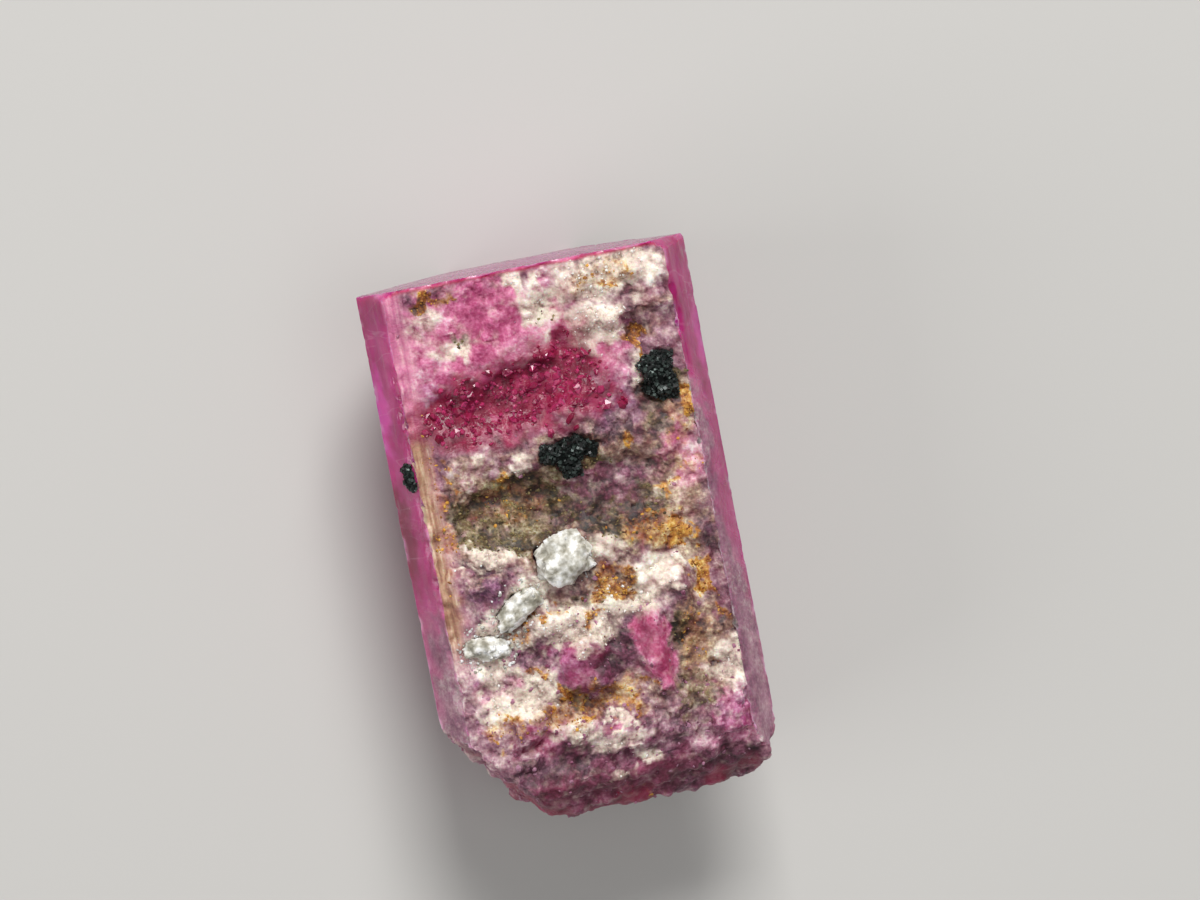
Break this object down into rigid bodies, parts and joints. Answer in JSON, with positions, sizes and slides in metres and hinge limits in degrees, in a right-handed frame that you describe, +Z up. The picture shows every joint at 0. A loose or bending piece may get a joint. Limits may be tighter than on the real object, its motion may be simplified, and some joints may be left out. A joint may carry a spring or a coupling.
{
  "type": "raw red beryl crystal",
  "caption": "Raw red beryl crystal: a six-sided prism with a flat top, a rough crusted front face with dark and white grains, and a broken lower end.",
  "frame": {"origin": "under the middle of the crystal, on the plane of the narrow back face that it lies on", "axes": "+Y along the crystal's length towards its flat top, +Z up out of the rough front face, +X to the right seen from above with the flat top away"},
  "size_m": [0.0064, 0.0108, 0.0047],
  "materials": {
    "red_beryl": "glassy on the side faces, crusted and stained on the front",
    "white_rock": "rough, sugary",
    "bixbyite": "black, sub-metallic, grainy"
  },
  "bodies": {
    "root": {"red_beryl_crystal": "red_beryl", "rock_patch_middle": "white_rock", "rock_patch_left": "white_rock", "rock_patch_lower": "white_rock", "bixbyite_cluster_right": "bixbyite", "bixbyite_cluster_middle": "bixbyite", "bixbyite_cluster_left": "bixbyite"}
  },
  "joints": []
}
